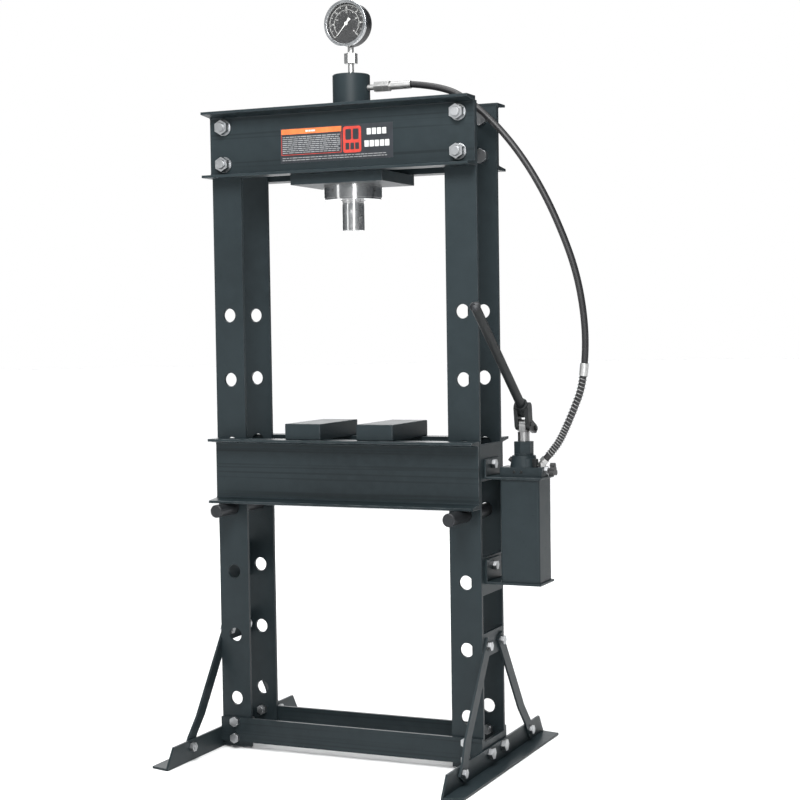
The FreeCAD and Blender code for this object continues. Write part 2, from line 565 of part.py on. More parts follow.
def hose_edges(route):
    """Straight runs joined by tangent arcs, in order from the cylinder to the pump."""
    points = [V(x, 0, z) for x, z in route]
    edges = []
    here = points[0]
    for i in range(1, len(points) - 1):
        before, after = points[i] - points[i - 1], points[i + 1] - points[i]
        half_turn = before.getAngle(after) / 2
        cut = 0.45 * min(before.Length, after.Length)
        radius = cut / math.tan(half_turn)
        before.normalize()
        after.normalize()
        bisector = after - before
        bisector.normalize()
        centre = points[i] + bisector * math.hypot(radius, cut)
        middle = centre - bisector * radius
        start, end = points[i] - before * cut, points[i] + after * cut
        edges.append(Part.LineSegment(here, start).toShape())
        edges.append(Part.Arc(start, middle, end).toShape())
        here = end
        print("hose corner", i, "radius", round(radius, 1), "mm")
    edges.append(Part.LineSegment(here, points[-1]).toShape())
    return edges


def sweep(edges, radius):
    wire = Part.Wire(edges)
    first = wire.Edges[0]
    start = first.valueAt(first.FirstParameter)
    circle = Part.Wire(Part.makeCircle(radius, start, first.tangentAt(first.FirstParameter)))
    return wire.makePipeShell([circle], True, False)


route_edges = hose_edges(HOSE_ROUTE)
hose = sweep(route_edges, HOSE_RADIUS)
save("hose", hose)
length = sum(e.Length for e in route_edges)
print("hose length", round(length, 1), "mm, by volume", round(hose.Volume / (math.pi * HOSE_RADIUS ** 2), 1))
collar_line = route_edges[2 * COLLAR_RUN]
collar_top, collar_low = [v.Point for v in collar_line.Vertexes]
down = collar_low - collar_top
span = down.Length
down.normalize()
collar_start = collar_top + down * 0.5
save("guard_collar", tube(9.6, HOSE_RADIUS + 0.3, tuple(collar_start), down, span - 1.0))
last_line = route_edges[-1]
last_start, last_end = [v.Point for v in last_line.Vertexes]
heading = last_end - last_start
heading.normalize()
guard_end = last_end - heading * GUARD_END_GAP
guard_edges = route_edges[2 * COLLAR_RUN + 1:-1] + [Part.LineSegment(last_start, guard_end).toShape()]
save("hose_guard", sweep(guard_edges, HOSE_RADIUS + 1.8).cut(sweep(guard_edges, HOSE_RADIUS + 0.3)))
nut_start = last_end + heading * 10.0
outlet = [rod(6.5, tuple(last_end + heading * 19.0), heading * -1, 18.0)]
outlet.append(hexagon(17.0, tuple(nut_start), heading * -1, 10.0))
outlet.append(hexagon(15.0, (450, 0, 672), Z_AXIS, 8.0))
save("pump_outlet", fuse(outlet))
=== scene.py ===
import json
import math
import random

import bmesh
import bpy
from mathutils import Matrix, Vector


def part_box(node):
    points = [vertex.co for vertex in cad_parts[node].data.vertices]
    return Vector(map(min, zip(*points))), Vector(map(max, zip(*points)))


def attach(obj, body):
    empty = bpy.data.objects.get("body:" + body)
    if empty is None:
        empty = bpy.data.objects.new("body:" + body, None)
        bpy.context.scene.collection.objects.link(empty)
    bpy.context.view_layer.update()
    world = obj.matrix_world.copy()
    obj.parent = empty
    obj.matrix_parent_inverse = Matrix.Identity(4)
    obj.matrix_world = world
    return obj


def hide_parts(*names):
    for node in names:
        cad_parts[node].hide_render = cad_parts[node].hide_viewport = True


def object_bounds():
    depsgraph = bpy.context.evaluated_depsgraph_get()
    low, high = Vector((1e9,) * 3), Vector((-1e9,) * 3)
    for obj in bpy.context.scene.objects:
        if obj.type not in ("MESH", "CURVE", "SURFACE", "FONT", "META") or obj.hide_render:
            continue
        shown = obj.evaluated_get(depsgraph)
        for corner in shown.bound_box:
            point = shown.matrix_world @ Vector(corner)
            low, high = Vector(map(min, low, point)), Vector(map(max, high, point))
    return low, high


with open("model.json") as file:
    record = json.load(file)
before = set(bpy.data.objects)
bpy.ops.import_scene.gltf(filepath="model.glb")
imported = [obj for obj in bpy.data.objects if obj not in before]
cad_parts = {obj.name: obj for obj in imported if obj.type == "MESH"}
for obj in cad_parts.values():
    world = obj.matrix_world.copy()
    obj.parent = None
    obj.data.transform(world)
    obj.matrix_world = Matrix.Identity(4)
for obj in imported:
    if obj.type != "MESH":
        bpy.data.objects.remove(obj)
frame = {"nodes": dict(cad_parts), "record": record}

# Hydraulic shop press: painted steel frame, ram and dial gauge, bed with its blocks, hand pump and hose.
# Lengths are in metres; MM turns workshop millimetres into them.

MM = 0.001
WELD_GAP = 1e-6
ZERO = (0.0, 0.0, 0.0)
CAD_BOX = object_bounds()
WEAR = "edge_wear"
BODIES = frame["record"]["behaviour"]["bodies"]
BODY_OF = {node: body for body, nodes in BODIES.items() for node in nodes}


def middle(node):
    low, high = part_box(node)
    return (low + high) / 2


RAM_AXIS = middle("ram")
GAUGE = middle("gauge_dial")
GAUGE.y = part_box("gauge_dial")[0].y


def add_object(name, data):
    """A new object in the scene, holding the data given."""
    made = bpy.data.objects.new(name, data)
    bpy.context.scene.collection.objects.link(made)
    return made


# ---------------------------------------------------------------- camera
# The camera stands to the right of the press and a little above its middle.

CAMERA_TARGET = Vector((0.0585, 0.0, 0.818))
CAMERA_DISTANCE = 3.914
CAMERA_YAW = math.radians(23.90)
CAMERA_PITCH = math.radians(2.52)
CAMERA_ROLL = math.radians(-0.86)
CAMERA_LENS = 77.25
CAMERA_REACH = 100.0


def add_camera():
    level = math.cos(CAMERA_PITCH)
    back = Vector((math.sin(CAMERA_YAW) * level, -math.cos(CAMERA_YAW) * level, math.sin(CAMERA_PITCH)))
    data = bpy.data.cameras.new("camera")
    data.lens = CAMERA_LENS
    data.clip_end = CAMERA_REACH
    camera = add_object("camera", data)
    camera.location = CAMERA_TARGET + back * CAMERA_DISTANCE
    turn = (-back).to_track_quat("-Z", "Y").to_matrix() @ Matrix.Rotation(CAMERA_ROLL, 3, "Z")
    camera.rotation_euler = turn.to_euler()
    bpy.context.scene.camera = camera


add_camera()


# ---------------------------------------------------------------- finishes

class Signal:
    """One value on its way through a finish. Sums on it add the finish's own Math nodes."""

    def __init__(self, finish, socket):
        self.finish = finish
        self.socket = socket

    def math(self, operation, first, second):
        return self.finish.node("ShaderNodeMath", {"operation": operation}, {0: first, 1: second})

    def __add__(self, other):
        return self.math("ADD", self, other)

    def __sub__(self, other):
        return self.math("SUBTRACT", self, other)

    def __mul__(self, other):
        return self.math("MULTIPLY", self, other)

    def __rsub__(self, other):
        return self.math("SUBTRACT", other, self)

    __radd__ = __add__
    __rmul__ = __mul__


class Finish:
    """A surface finish built node by node on the piece's own coordinates."""

    def __init__(self, name):
        self.material = bpy.data.materials.new(name)
        self.material.use_nodes = True
        self.tree = self.material.node_tree
        self.tree.nodes.clear()
        self.place = self.node("ShaderNodeTexCoord", output="Object")
        self.worn = self.node("ShaderNodeAttribute", {"attribute_name": WEAR}, output="Fac")

    def node(self, kind, settings=None, values=None, output=0):
        made = self.tree.nodes.new(kind)
        for key, value in (settings or {}).items():
            if key == "stops":
                ramp = made.color_ramp
                while len(ramp.elements) < len(value):
                    ramp.elements.new(1.0)
                for element, (position, colour) in zip(ramp.elements, value):
                    element.position = position
                    element.color = (*colour, 1.0)
            else:
                setattr(made, key, value)
        for key, value in (values or {}).items():
            if isinstance(value, Signal):
                self.tree.links.new(value.socket, made.inputs[key])
            else:
                made.inputs[key].default_value = value
        return Signal(self, made.outputs[output]) if output is not None else made

    def stretch(self, factors, place=None):
        return self.node("ShaderNodeVectorMath", {"operation": "MULTIPLY"},
                         {0: place or self.place, 1: factors})

    def noise(self, scale, detail=2.0, place=None):
        return self.node("ShaderNodeTexNoise", None,
                         {"Vector": place or self.place, "Scale": scale, "Detail": detail})

    def between(self, signal, low, high):
        """0 below low, 1 above high, smooth between."""
        return self.node("ShaderNodeMapRange", {"interpolation_type": "SMOOTHSTEP"},
                         {"Value": signal, "From Min": low, "From Max": high})

    def mix(self, factor, first, second):
        colours = [c if isinstance(c, Signal) else (*c, 1.0) for c in (first, second)]
        return self.node("ShaderNodeMix", {"data_type": "RGBA"}, {0: factor, 6: colours[0], 7: colours[1]}, 2)

    def bump(self, height, depth, strength=1.0):
        return self.node("ShaderNodeBump", None, {"Height": height, "Distance": depth, "Strength": strength})

    def surface(self, **values):
        sockets = {key.replace("_", " "): value for key, value in values.items()}
        for key, value in sockets.items():
            if isinstance(value, tuple) and len(value) == 3:
                sockets[key] = (*value, 1.0)
        shader = self.node("ShaderNodeBsdfPrincipled", None, sockets)
        self.node("ShaderNodeOutputMaterial", None, {"Surface": shader}, None)
        return self.material


def shade(colour, factor):
    return tuple(c * factor for c in colour)


def grey(value):
    return (value, value, value)


SLATE = (0.0165, 0.0240, 0.0272)
ZINC = (0.46, 0.47, 0.48)
BARE_STEEL = (0.16, 0.17, 0.175)
PLAIN = (1.0, 1.0, 1.0)


def paint(name, colour, roughness=0.42, peel=1.0, wear=0.55, sheen=0.2, rolled=0.0):
    """Sprayed paint: slow drift of tone, orange peel, small pits, thin places along the edges, mill lines."""
    f = Finish(name)
    lines = f.between(f.noise(4.0, 3.0, f.stretch((0.25, 1.0, 34.0))), 0.52, 0.66) * rolled
    drift = f.between(f.noise(2.3, 3.0), 0.32, 0.68)
    mottle = f.noise(38.0, 4.0)
    fine = f.noise(420.0, 2.0)
    pits = f.between(f.noise(160.0, 3.0), 0.66, 0.74)
    rubbed = f.worn * f.between(f.noise(55.0, 3.0), 0.36, 0.62) * wear
    tone = f.mix(drift, shade(colour, 0.86), shade(colour, 1.14))
    tone = f.mix(f.between(mottle, 0.35, 0.7) * 0.35, tone, shade(colour, 1.3))
    tone = f.mix(pits * 0.4, tone, shade(colour, 0.6))
    tone = f.mix(lines, tone, shade(colour, 0.55))
    tone = f.mix(rubbed, tone, BARE_STEEL)
    rough = roughness - 0.05 + mottle * 0.10 + pits * 0.1 - f.worn * 0.05
    height = fine * 0.5 + mottle * 0.5 - pits * 0.6 - lines * 0.8
    return f.surface(Base_Color=tone, Roughness=rough, Specular_IOR_Level=sheen,
                     Normal=f.bump(height, 0.12 * MM * peel, 0.6))


def metal(name, colour, roughness=0.3, grain=PLAIN, grain_scale=300.0, depth=0.00004, dull=0.3,
          dark=grey(0.12), metallic=1.0):
    """Bare or plated steel: tool grain along one direction, clouded dull places, bright rubbed edges."""
    f = Finish(name)
    lines = f.noise(grain_scale, 3.0, f.stretch(grain))
    cloud = f.noise(45.0, 4.0)
    stain = f.between(cloud, 0.48, 0.72)
    tone = f.mix(lines, shade(colour, 0.88), shade(colour, 1.06))
    tone = f.mix(stain * dull, tone, dark)
    tone = f.mix(f.worn * 0.6, tone, shade(colour, 1.15))
    rough = roughness - 0.04 + lines * 0.08 + stain * 0.10 - f.worn * 0.05
    return f.surface(Base_Color=tone, Roughness=rough, Metallic=metallic, Normal=f.bump(lines, depth, 0.7))


def turned(name, colour, centre, roughness=0.15, pitch=1400.0):
    """Steel faced in a lathe about an upright axis: fine rings on its ends and round its side."""
    f = Finish(name)
    around = f.node("ShaderNodeVectorMath", {"operation": "SUBTRACT"},
                    {0: f.place, 1: (centre.x, centre.y, 0.0)})
    flat = f.stretch((1.0, 1.0, 0.0), around)
    reach = f.node("ShaderNodeVectorMath", {"operation": "LENGTH"}, {0: flat}, "Value")
    height = f.node("ShaderNodeSeparateXYZ", None, {0: f.place}, "Z")
    rings = f.node("ShaderNodeTexNoise", {"noise_dimensions": "1D"},
                   {"W": reach + height, "Scale": pitch})
    cloud = f.noise(30.0, 3.0)
    tone = f.mix(rings, shade(colour, 0.78), shade(colour, 1.1))
    tone = f.mix(f.between(cloud, 0.5, 0.75) * 0.25, tone, shade(colour, 0.45))
    tone = f.mix(f.worn * 0.5, tone, shade(colour, 1.2))
    rough = roughness - 0.05 + rings * 0.1 + cloud * 0.06
    return f.surface(Base_Color=tone, Roughness=rough, Metallic=1.0, Normal=f.bump(rings, 0.000006, 0.5))


def moulded(name, colour, roughness=0.45, depth=0.00008, scale=500.0):
    """Plastic, rubber or printed film: fine moulded skin with slightly polished edges."""
    f = Finish(name)
    skin = f.noise(scale, 3.0)
    cloud = f.noise(60.0, 3.0)
    tone = f.mix(f.between(cloud, 0.3, 0.7), shade(colour, 0.85), shade(colour, 1.15))
    tone = f.mix(f.worn * 0.4, tone, shade(colour, 1.7))
    return f.surface(Base_Color=tone, Roughness=roughness - 0.04 + skin * 0.08,
                     Normal=f.bump(skin, depth, 0.5))


def window_glass():
    f = Finish("gauge_window")
    smear = f.noise(70.0, 3.0)
    return f.surface(Base_Color=(0.95, 0.97, 0.98), Roughness=0.04 + smear * 0.05,
                     Alpha=0.006 + smear * 0.01, Normal=f.bump(smear, 0.00002, 0.2))


FINISH = {
    "frame_paint": paint("frame_paint", SLATE, roughness=0.42),
    "beam_paint": paint("beam_paint", SLATE, roughness=0.40, rolled=0.6),
    "cast_paint": paint("cast_paint", shade(SLATE, 1.05), roughness=0.46, peel=2.2, wear=0.35),
    "black_enamel": paint("black_enamel", (0.010, 0.0115, 0.012), roughness=0.40, peel=1.2, wear=0.35,
                          sheen=0.25),
    "zinc_plate": metal("zinc_plate", ZINC, roughness=0.36, grain_scale=260.0, depth=0.00002, dull=0.25,
                        dark=grey(0.22)),
    "fitting_steel": metal("fitting_steel", (0.60, 0.60, 0.59), roughness=0.44, depth=0.00002, dull=0.2,
                           dark=grey(0.25)),
    "turned_steel": turned("turned_steel", grey(0.60), RAM_AXIS),
    "pin_steel": metal("pin_steel", (0.026, 0.028, 0.031), roughness=0.46, grain=(1.0, 0.05, 1.0),
                       grain_scale=500.0, dull=0.4, dark=grey(0.02), metallic=0.5),
    "hard_chrome": metal("hard_chrome", grey(0.72), roughness=0.20, grain=(1.0, 1.0, 0.03),
                         grain_scale=700.0, depth=0.000006, dull=0.08, dark=grey(0.3)),
    "satin_steel": metal("satin_steel", grey(0.34), roughness=0.34, grain=(1.0, 1.0, 0.05),
                         grain_scale=500.0, depth=0.00001),
    "bezel_steel": metal("bezel_steel", (0.56, 0.57, 0.58), roughness=0.24, grain_scale=500.0,
                         depth=0.00001, dull=0.12, dark=grey(0.3)),
    "black_plastic": moulded("black_plastic", (0.013, 0.013, 0.014), 0.42),
    "dial_face": moulded("dial_face", (0.004, 0.004, 0.0045), 0.7),
    "pointer_white": moulded("pointer_white", (0.74, 0.74, 0.72), 0.4),
    "dial_print": moulded("dial_print", (0.62, 0.62, 0.60), 0.5),
    "gauge_glass": window_glass(),
    "hose_rubber": moulded("hose_rubber", (0.011, 0.011, 0.012), 0.46, depth=0.0002, scale=700.0),
    "guard_wire": metal("guard_wire", grey(0.36), roughness=0.34, grain_scale=500.0, depth=0.00001),
    "label_film": moulded("label_film", (0.020, 0.023, 0.028), 0.35),
    "label_orange": moulded("label_orange", (0.70, 0.17, 0.045), 0.4),
    "label_red": moulded("label_red", (0.50, 0.045, 0.03), 0.38),
    "label_white": moulded("label_white", (0.62, 0.63, 0.62), 0.4),
    "label_grey": moulded("label_grey", (0.26, 0.265, 0.27), 0.45),
}


# ---------------------------------------------------------------- piece making

def add_piece(name, mesh, finish, body, replaced=()):
    """Puts a finished mesh in the scene, on its body, with its finish."""
    piece = add_object(name, mesh)
    mesh.materials.clear()
    mesh.materials.append(FINISH[finish])
    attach(piece, body)
    if replaced:
        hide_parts(*replaced)
    return piece


def add_shape(shape, name, finish, body, replaced=()):
    """Adds a closed bmesh as a piece, with its faces turned outwards."""
    bmesh.ops.recalc_face_normals(shape, faces=shape.faces)
    mesh = bpy.data.meshes.new(name)
    shape.to_mesh(mesh)
    shape.free()
    return add_piece(name, mesh, finish, body, replaced)


def plain_mesh(piece):
    """The evaluated shape of an object as a mesh of its own."""
    bpy.context.view_layer.update()
    graph = bpy.context.evaluated_depsgraph_get()
    return bpy.data.meshes.new_from_object(piece.evaluated_get(graph), preserve_all_data_layers=True,
                                           depsgraph=graph)


def finished(mesh, name):
    """Face-weighted normals, so that flats stay flat and only the rounded edges turn the light."""
    helper = add_object(name + "_blank", mesh)
    weighting = helper.modifiers.new("weights", "WEIGHTED_NORMAL")
    weighting.weight = 100
    weighting.keep_sharp = True
    result = plain_mesh(helper)
    bpy.data.objects.remove(helper)
    return result


FLAT_ANGLE = math.radians(0.4)
SHARP_ANGLE = math.radians(32)
CREASE_ANGLE = math.radians(50)


def merged(node):
    """A CAD node's shape as one bmesh, welded, with its flat faces whole again."""
    shape = bmesh.new()
    shape.from_mesh(frame["nodes"][node].data)
    bmesh.ops.remove_doubles(shape, verts=shape.verts, dist=WELD_GAP)
    bmesh.ops.dissolve_degenerate(shape, edges=shape.edges, dist=1e-7)
    bmesh.ops.dissolve_limit(shape, angle_limit=FLAT_ANGLE, verts=shape.verts, edges=shape.edges)
    return shape


def eased(node, width, finish, name=None):
    """The CAD node with its hard edges eased to a small radius, marked where wear falls."""
    shape = merged(node)
    sharp = [e for e in shape.edges if e.is_convex and e.calc_face_angle(0.0) > SHARP_ANGLE]
    made = bmesh.ops.bevel(shape, geom=sharp, offset=width, segments=2, profile=0.5, affect="EDGES",
                           clamp_overlap=True, loop_slide=True)
    rounded = set(made["faces"])
    layer = shape.verts.layers.float.new(WEAR)
    for vert in shape.verts:
        on_edge = vert.link_faces and all(face in rounded for face in vert.link_faces)
        vert[layer] = 1.0 if on_edge else 0.0
    for face in shape.faces:
        face.smooth = True
    for edge in shape.edges:
        edge.smooth = edge.calc_face_angle(0.0) < CREASE_ANGLE
    mesh = bpy.data.meshes.new(node)
    shape.to_mesh(mesh)
    shape.free()
    return add_piece(name or node + "_finish", finished(mesh, node), finish, BODY_OF[node], [node])


# How far the edges of each piece are eased, in millimetres.
EASED = {
    0.9: ["left_back_bar", "left_front_bar", "right_back_bar", "right_front_bar", "left_battens",
          "right_battens", "rail_back", "rail_front", "foot_left", "foot_right", "braces_left", "braces_right",
          "pump_bracket_high", "pump_bracket_low", "bed_spacers", "head_plate"],
    1.2: ["top_beam_back", "top_beam_front", "bed_back", "bed_front", "press_block_left",
          "press_block_right"],
    0.5: ["beam_bolts", "beam_nuts", "beam_washers", "rail_bolts", "foot_bolts", "side_bolts", "inner_nuts",
          "lock_ring", "cylinder_gland", "cylinder_barrel", "ram", "bed_pin_left", "bed_pin_right",
          "gauge_stem", "port_adapter", "hose_fitting_top", "pump_outlet", "pump_collar", "pump_plunger",
          "valve_gland", "handle_tube", "handle_plug", "filler_plug", "head_plugs", "guard_collar", "fulcrum",
          "oil_tank"],
    0.8: ["pump_head", "pump_lever", "valve_knob", "gauge_bezel"],
    0.3: ["gauge_case"],
}
FINISH_OF = {
    "beam_paint": ["top_beam_back", "top_beam_front", "bed_back", "bed_front", "rail_back", "rail_front"],
    "zinc_plate": ["beam_bolts", "beam_nuts", "beam_washers", "rail_bolts", "foot_bolts", "side_bolts",
                   "inner_nuts", "valve_gland"],
    "fitting_steel": ["gauge_stem", "port_adapter", "hose_fitting_top", "pump_outlet", "guard_collar"],
    "turned_steel": ["lock_ring", "cylinder_gland"],
    "satin_steel": ["pump_plunger"],
    "pin_steel": ["bed_pin_left", "bed_pin_right", "handle_plug"],
    "hard_chrome": ["ram"],
    "bezel_steel": ["gauge_bezel"],
    "black_plastic": ["gauge_case", "filler_plug", "valve_knob"],
    "cast_paint": ["press_block_left", "press_block_right", "pump_head", "pump_collar", "cylinder_barrel"],
    "black_enamel": ["pump_lever", "handle_tube", "head_plugs", "fulcrum"],
}
FINISH_BY_NODE = {node: finish for finish, nodes in FINISH_OF.items() for node in nodes}
for width, nodes in EASED.items():
    for node in nodes:
        eased(node, width * MM, FINISH_BY_NODE.get(node, "frame_paint"))

for node, finish in (("gauge_dial", "dial_face"), ("gauge_glass", "gauge_glass")):
    frame["nodes"][node].material_slots[0].material = FINISH[finish]


def islands(node):
    """The corners of each separate solid of a CAD node."""
    shape = bmesh.new()
    shape.from_mesh(frame["nodes"][node].data)
    bmesh.ops.remove_doubles(shape, verts=shape.verts, dist=WELD_GAP)
    found, seen = [], set()
    for start in shape.verts:
        if start in seen:
            continue
        seen.add(start)
        queue, group = [start], []
        while queue:
            vert = queue.pop()
            group.append(vert.co.copy())
            for edge in vert.link_edges:
                other = edge.other_vert(vert)
                if other not in seen:
                    seen.add(other)
                    queue.append(other)
        low = Vector([min(c[i] for c in group) for i in range(3)])
        high = Vector([max(c[i] for c in group) for i in range(3)])
        found.append((low, high))
    shape.free()
    return found


# ---------------------------------------------------------------- geometry node trees

class Tree:
    """A geometry node tree with named inputs, ending in Realize Instances and Set Material."""

    def __init__(self, name, finish, **inputs):
        self.group = bpy.data.node_groups.new(name, "GeometryNodeTree")
        face = self.group.interface
        face.new_socket("Geometry", in_out="INPUT", socket_type="NodeSocketGeometry")
        self.sockets = {}
        for key, value in inputs.items():
            kind = "NodeSocketInt" if isinstance(value, int) else "NodeSocketFloat"
            socket = face.new_socket(key, in_out="INPUT", socket_type=kind)
            socket.default_value = value
            self.sockets[key] = socket.identifier
        face.new_socket("Geometry", in_out="OUTPUT", socket_type="NodeSocketGeometry")
        self.entry = self.group.nodes.new("NodeGroupInput")
        self.finish = FINISH[finish]
        self.finish_name = finish

    def given(self, key):
        return self.entry.outputs[key]

    def node(self, kind, settings=None, values=None, output=0):
        made = self.group.nodes.new(kind)
        for key, value in (settings or {}).items():
            setattr(made, key, value)
        for key, value in (values or {}).items():
            if isinstance(value, bpy.types.NodeSocket):
                self.group.links.new(value, made.inputs[key])
            else:
                made.inputs[key].default_value = value
        return made.outputs[output]

    def sum(self, operation, first, second=0.0):
        return self.node("ShaderNodeMath", {"operation": operation}, {0: first, 1: second})

    def turn(self):
        """The turn that each seed point carries."""
        return self.node("GeometryNodeInputNamedAttribute", {"data_type": "FLOAT_VECTOR"}, {"Name": "turn"})

    def tube(self, line, radius, sides):
        """A round section swept along a curve."""
        section = self.node("GeometryNodeCurvePrimitiveCircle", None, {"Resolution": sides, "Radius": radius})
        return self.node("GeometryNodeCurveToMesh", None, {0: line, 1: section, "Fill Caps": True})

    def spread(self, points, instance, **values):
        return self.node("GeometryNodeInstanceOnPoints", None,
                         {"Points": points, "Instance": instance, **values})

    def close(self, geometry, smooth=True):
        solid = self.node("GeometryNodeRealizeInstances", None, {0: geometry})
        solid = self.node("GeometryNodeSetShadeSmooth", None, {"Geometry": solid, "Shade Smooth": smooth})
        solid = self.node("GeometryNodeSetMaterial", None, {"Geometry": solid, "Material": self.finish})
        exit_node = self.group.nodes.new("NodeGroupOutput")
        self.group.links.new(solid, exit_node.inputs[0])

    def grow(self, name, seed_mesh, body, **values):
        """Runs the tree on a seed mesh and adds the result as a plain piece."""
        helper = add_object(name + "_seed", seed_mesh)
        modifier = helper.modifiers.new("tree", "NODES")
        modifier.node_group = self.group
        for key, value in values.items():
            modifier[self.sockets[key]] = value
        mesh = plain_mesh(helper)
        helper.modifiers.remove(modifier)
        bpy.data.objects.remove(helper)
        mesh.name = name
        return add_piece(name, mesh, self.finish_name, body)


def points_mesh(name, rows):
    """Loose points, each with the turn that its instance takes."""
    mesh = bpy.data.meshes.new(name)
    mesh.from_pydata([row[0] for row in rows], [], [])
    turns = mesh.attributes.new("turn", "FLOAT_VECTOR", "POINT")
    for item, row in zip(turns.data, rows):
        item.vector = row[1]
    return mesh


def lines_mesh(name, lines):
    mesh = bpy.data.meshes.new(name)
    points, edges = [], []
    for line in lines:
        base = len(points)
        points += [tuple(p) for p in line]
        edges += [(base + i, base + i + 1) for i in range(len(line) - 1)]
    mesh.from_pydata(points, edges, [])
    return mesh


def thread_tree():
    """A screw thread: a fine ridge wound round each bolt end."""
    tree = Tree("thread", "zinc_plate", Radius=0.01, Pitch=0.0025, Length=0.006, Depth=0.0006)
    turns = tree.sum("DIVIDE", tree.given("Length"), tree.given("Pitch"))
    helix = tree.node("GeometryNodeCurveSpiral", None, {
        "Resolution": 24, "Rotations": turns, "Start Radius": tree.given("Radius"),
        "End Radius": tree.given("Radius"), "Height": tree.given("Length")})
    ridge = tree.tube(helix, tree.given("Depth"), 4)
    tree.close(tree.spread(tree.given("Geometry"), ridge, Rotation=tree.turn()))
    return tree


def bead_tree():
    """A weld bead: overlapping round drops along a seam, each a little different in size."""
    tree = Tree("weld_bead", "frame_paint", Spacing=0.0022, Radius=0.0026, Seed=7)
    curve = tree.node("GeometryNodeMeshToCurve", None, {0: tree.given("Geometry")})
    dots = tree.node("GeometryNodeResampleCurve", {"mode": "LENGTH"},
                     {"Curve": curve, "Length": tree.given("Spacing")})
    size = tree.node("FunctionNodeRandomValue", {"data_type": "FLOAT"},
                     {2: 0.8, 3: 1.15, "Seed": tree.given("Seed")}, 1)
    drop = tree.node("GeometryNodeMeshUVSphere", None,
                     {"Segments": 8, "Rings": 5, "Radius": tree.given("Radius")})
    tree.close(tree.spread(dots, drop, Scale=size))
    return tree


def mark_tree():
    """Printed strokes of a round scale, standing a hair off the dial."""
    tree = Tree("scale_marks", "dial_print", Count=31, Radius=0.036, Length=0.004, Width=0.0007, Sweep=4.712,
                Start=-2.356, Thickness=0.0003)
    step = tree.sum("DIVIDE", tree.given("Sweep"), tree.sum("SUBTRACT", tree.given("Count"), 1.0))
    index = tree.node("GeometryNodeInputIndex")
    angle = tree.sum("ADD", tree.given("Start"), tree.sum("MULTIPLY", index, step))
    across = tree.sum("MULTIPLY", tree.sum("SINE", angle), tree.given("Radius"))
    upward = tree.sum("MULTIPLY", tree.sum("COSINE", angle), tree.given("Radius"))
    place = tree.node("ShaderNodeCombineXYZ", None, {"X": across, "Y": 0.0, "Z": upward})
    dots = tree.node("GeometryNodePoints", None, {"Count": tree.given("Count"), "Position": place})
    size = tree.node("ShaderNodeCombineXYZ", None, {
        "X": tree.given("Width"), "Y": tree.given("Thickness"), "Z": tree.given("Length")})
    stroke = tree.node("GeometryNodeMeshCube", None, {"Size": size})
    turn = tree.node("ShaderNodeCombineXYZ", None, {"X": 0.0, "Y": angle, "Z": 0.0})
    solid = tree.node("GeometryNodeRealizeInstances", None, {0: tree.spread(dots, stroke, Rotation=turn)})
    position = tree.node("GeometryNodeInputPosition")
    shift = tree.node("ShaderNodeVectorMath", {"operation": "ADD"}, {0: position, 1: tuple(GAUGE)})
    moved = tree.node("GeometryNodeSetPosition", None, {"Geometry": solid, "Position": shift})
    tree.close(moved, False)
    return tree


def coil_tree():
    """The hose's spring guard: wire wound along a line, open for its first part and close after it."""
    tree = Tree("spring_guard", "guard_wire", Coil=0.0086, Wire=0.0009, OpenPitch=0.0083,
                ClosePitch=0.0062, OpenLength=0.115, Steps=1200)
    curve = tree.node("GeometryNodeMeshToCurve", None, {0: tree.given("Geometry")})
    fine = tree.node("GeometryNodeResampleCurve", None, {"Curve": curve, "Count": tree.given("Steps")})
    along = tree.node("GeometryNodeSplineParameter", output="Length")
    opened = tree.sum("DIVIDE", tree.sum("MINIMUM", along, tree.given("OpenLength")), tree.given("OpenPitch"))
    beyond = tree.sum("MAXIMUM", tree.sum("SUBTRACT", along, tree.given("OpenLength")), 0.0)
    closed = tree.sum("DIVIDE", beyond, tree.given("ClosePitch"))
    phase = tree.sum("MULTIPLY", tree.sum("ADD", opened, closed), 2 * math.pi)
    tangent = tree.node("GeometryNodeInputTangent")
    side = (0.0, 1.0, 0.0)
    up = tree.node("ShaderNodeVectorMath", {"operation": "CROSS_PRODUCT"}, {0: tangent, 1: side})
    first = tree.node("ShaderNodeVectorMath", {"operation": "SCALE"}, {
        0: up, "Scale": tree.sum("MULTIPLY", tree.sum("COSINE", phase), tree.given("Coil"))})
    second = tree.node("ShaderNodeVectorMath", {"operation": "SCALE"}, {
        0: side, "Scale": tree.sum("MULTIPLY", tree.sum("SINE", phase), tree.given("Coil"))})
    offset = tree.node("ShaderNodeVectorMath", {"operation": "ADD"}, {0: first, 1: second})
    wound = tree.node("GeometryNodeSetPosition", None, {"Geometry": fine, "Offset": offset})
    tree.close(tree.tube(wound, tree.given("Wire"), 6))
    return tree


# ---------------------------------------------------------------- threads

def bolt_ends(node, outward, length, start_gap):
    """Where each bolt's thread shows: (point, turn) rows, for a helix that grows along local +Z."""
    rows = []
    for low, high in islands(node):
        size = high - low
        axis = 1 if size.y > size.x else 0
        middle_point = (low + high) / 2
        far = high[axis] if (abs(high[axis]) > abs(low[axis])) == outward else low[axis]
        inwards = -1.0 if far == high[axis] else 1.0
        point = middle_point.copy()
        point[axis] = far + inwards * (start_gap + length)
        direction = Vector((0.0, 0.0, 0.0))
        direction[axis] = -inwards
        rows.append((tuple(point), tuple(direction.to_track_quat("Z", "Y").to_euler())))
    return rows


# Bolts with a thread in sight: radius, pitch and length in millimetres, and whether the end faces outwards.
THREADS = {"beam_bolts": (10.0, 2.5, 5.0, True), "rail_bolts": (7.0, 2.0, 3.0, False)}
THREAD_GAP = 0.8 * MM
THREAD_PROUD = 0.02
DEPTH_BY_PITCH = 0.22

